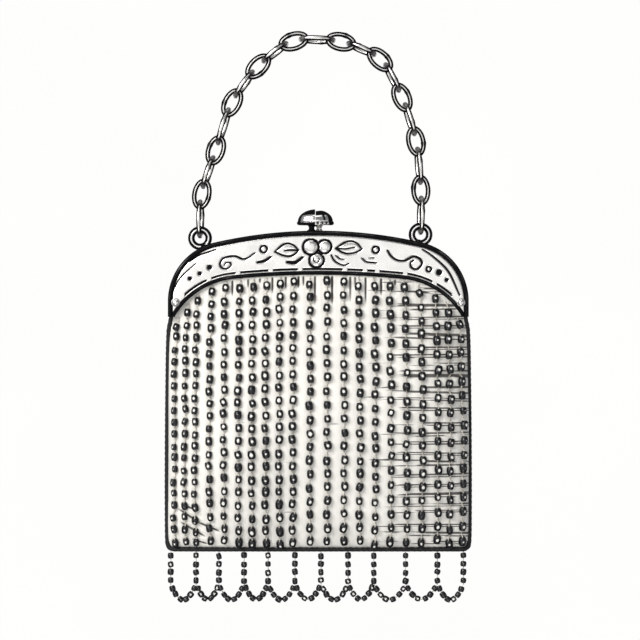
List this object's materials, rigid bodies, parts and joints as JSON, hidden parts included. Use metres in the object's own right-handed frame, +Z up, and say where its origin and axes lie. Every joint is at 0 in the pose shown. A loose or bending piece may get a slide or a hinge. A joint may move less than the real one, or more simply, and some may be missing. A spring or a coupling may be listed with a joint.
{
  "type": "beaded bag",
  "caption": "Small evening bag hung from a link chain: a chased metal clasp frame over a cloth pouch sewn with columns of dark beads and edged with a looped bead fringe.",
  "frame": {"origin": "under the chain's middle link, where the bag is carried, on the plane where the frame's halves meet", "axes": "+Z up along the hanging bag, -Y out of its front face, +X to the right as seen from the front"},
  "size_m": [0.1351, 0.0319, 0.2572],
  "materials": {
    "frame_metal": "chased silver, dark in the grooves",
    "clasp_metal": "polished silver, dark in the flutes",
    "chain_metal": "worn silver wire",
    "cloth": "ribbed ivory silk",
    "beads": "glossy opaque jet glass"
  },
  "bodies": {
    "root": {"frame_front": "frame_metal", "frame_back": "frame_metal", "hinge_pin_left": "frame_metal", "hinge_pin_right": "frame_metal", "clasp_knob_left": "clasp_metal", "clasp_knob_right": "clasp_metal", "chain_link_01": "chain_metal", "chain_link_02": "chain_metal", "chain_link_03": "chain_metal", "chain_link_04": "chain_metal", "chain_link_05": "chain_metal", "chain_link_06": "chain_metal", "chain_link_07": "chain_metal", "chain_link_08": "chain_metal", "chain_link_09": "chain_metal", "chain_link_10": "chain_metal", "chain_link_11": "chain_metal", "chain_link_12": "chain_metal", "chain_link_13": "chain_metal", "chain_link_14": "chain_metal", "chain_link_15": "chain_metal", "chain_link_16": "chain_metal", "chain_link_17": "chain_metal", "chain_link_18": "chain_metal", "chain_link_19": "chain_metal", "chain_link_20": "chain_metal", "chain_link_21": "chain_metal", "pouch": "cloth", "bead_strings_front": "beads", "bead_strings_back": "beads", "fringe_drop_01": "beads", "fringe_drop_02": "beads", "fringe_drop_03": "beads", "fringe_drop_04": "beads", "fringe_drop_05": "beads", "fringe_drop_06": "beads", "fringe_drop_07": "beads", "fringe_drop_08": "beads", "fringe_drop_09": "beads", "fringe_drop_10": "beads", "fringe_drop_11": "beads", "fringe_drop_12": "beads", "fringe_swag_01": "beads", "fringe_swag_02": "beads", "fringe_swag_03": "beads", "fringe_swag_04": "beads", "fringe_swag_05": "beads", "fringe_swag_06": "beads", "fringe_swag_07": "beads", "fringe_swag_08": "beads", "fringe_swag_09": "beads", "fringe_swag_10": "beads", "fringe_swag_11": "beads"}
  },
  "joints": []
}
